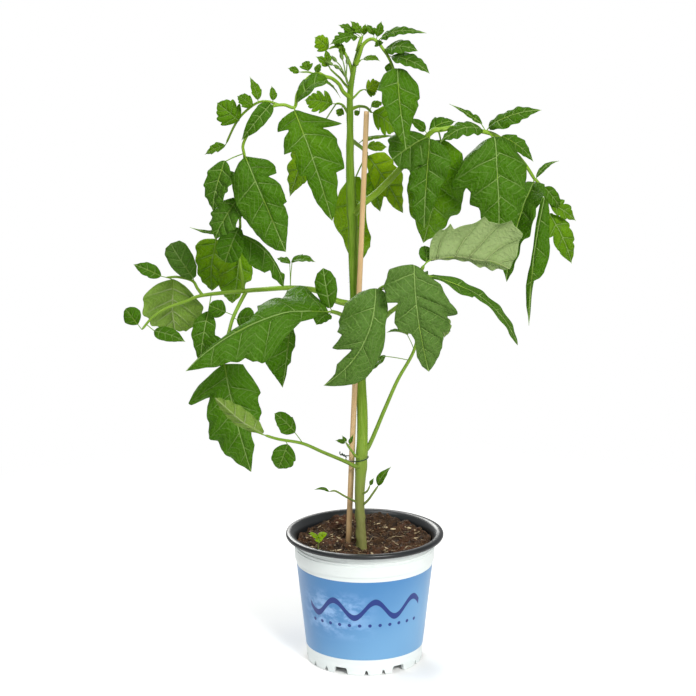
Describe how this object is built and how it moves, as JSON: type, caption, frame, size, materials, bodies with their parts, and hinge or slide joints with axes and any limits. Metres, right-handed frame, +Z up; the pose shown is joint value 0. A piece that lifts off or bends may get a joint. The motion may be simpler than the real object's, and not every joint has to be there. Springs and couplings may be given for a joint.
{
  "type": "potted tomato plant",
  "caption": "Young tomato plant with drooping compound leaves and flower buds, tied to a thin cane stake in a round plastic nursery pot filled with soil.",
  "frame": {"origin": "under the middle of the whole plant's box, on the ground; the pot's axis stands at x 0.0131, y 0.0172", "axes": "+Z up along the stem, +X to the right of the plant's front, -Y towards the viewer of the front"},
  "size_m": [0.3399, 0.2036, 0.4884],
  "materials": {
    "pot": "white outside with a black rim and inside, and a printed sky-blue band, semi-gloss",
    "soil": "moist dark peat, crumbly and matte",
    "stem": "green and hairy, darker at the foot",
    "stake": "bare split cane, matte",
    "wire_tie": "dark green plastic coating",
    "flower_truss": "dark green hairy buds",
    "weed_seedling": "bright fresh green",
    "low_left_leaf": "living leaf, softly glossy above and paler below",
    "low_right_leaf": "living leaf, softly glossy above and paler below",
    "front_right_leaf": "living leaf, softly glossy above and paler below",
    "front_left_leaf": "living leaf, softly glossy above and paler below",
    "long_left_leaf": "living leaf, softly glossy above and paler below",
    "upper_left_leaf": "living leaf, softly glossy above and paler below",
    "young_left_leaf": "living leaf, softly glossy above and paler below",
    "top_right_leaf": "living leaf, softly glossy above and paler below",
    "tip_leaf": "living leaf, softly glossy above and paler below",
    "upper_small_leaf": "living leaf, softly glossy above and paler below",
    "top_small_leaf": "living leaf, softly glossy above and paler below",
    "right_leaf": "living leaf, softly glossy above and paler below",
    "back_right_leaf": "living leaf, softly glossy above and paler below",
    "back_small_leaf": "living leaf, softly glossy above and paler below",
    "back_leaf": "living leaf, softly glossy above and paler below",
    "back_left_leaf": "living leaf, softly glossy above and paler below",
    "seed_leaf_left": "ageing seed leaf, pale green and dry",
    "seed_leaf_right": "ageing seed leaf, pale green and dry",
    "base_shoot": "tiny young shoot, hairy and light green",
    "side_shoot": "tiny young shoot, hairy and light green"
  },
  "bodies": {
    "root": {"pot": "pot", "soil": "soil", "stem": "stem", "stake": "stake", "wire_tie": "wire_tie", "flower_truss": "flower_truss", "weed_seedling": "weed_seedling", "low_left_leaf": "low_left_leaf", "low_right_leaf": "low_right_leaf", "front_right_leaf": "front_right_leaf", "front_left_leaf": "front_left_leaf", "long_left_leaf": "long_left_leaf", "upper_left_leaf": "upper_left_leaf", "young_left_leaf": "young_left_leaf", "top_right_leaf": "top_right_leaf", "tip_leaf": "tip_leaf", "upper_small_leaf": "upper_small_leaf", "top_small_leaf": "top_small_leaf", "right_leaf": "right_leaf", "back_right_leaf": "back_right_leaf", "back_small_leaf": "back_small_leaf", "back_leaf": "back_leaf", "back_left_leaf": "back_left_leaf", "seed_leaf_left": "seed_leaf_left", "seed_leaf_right": "seed_leaf_right", "base_shoot": "base_shoot", "side_shoot": "side_shoot"}
  },
  "joints": []
}
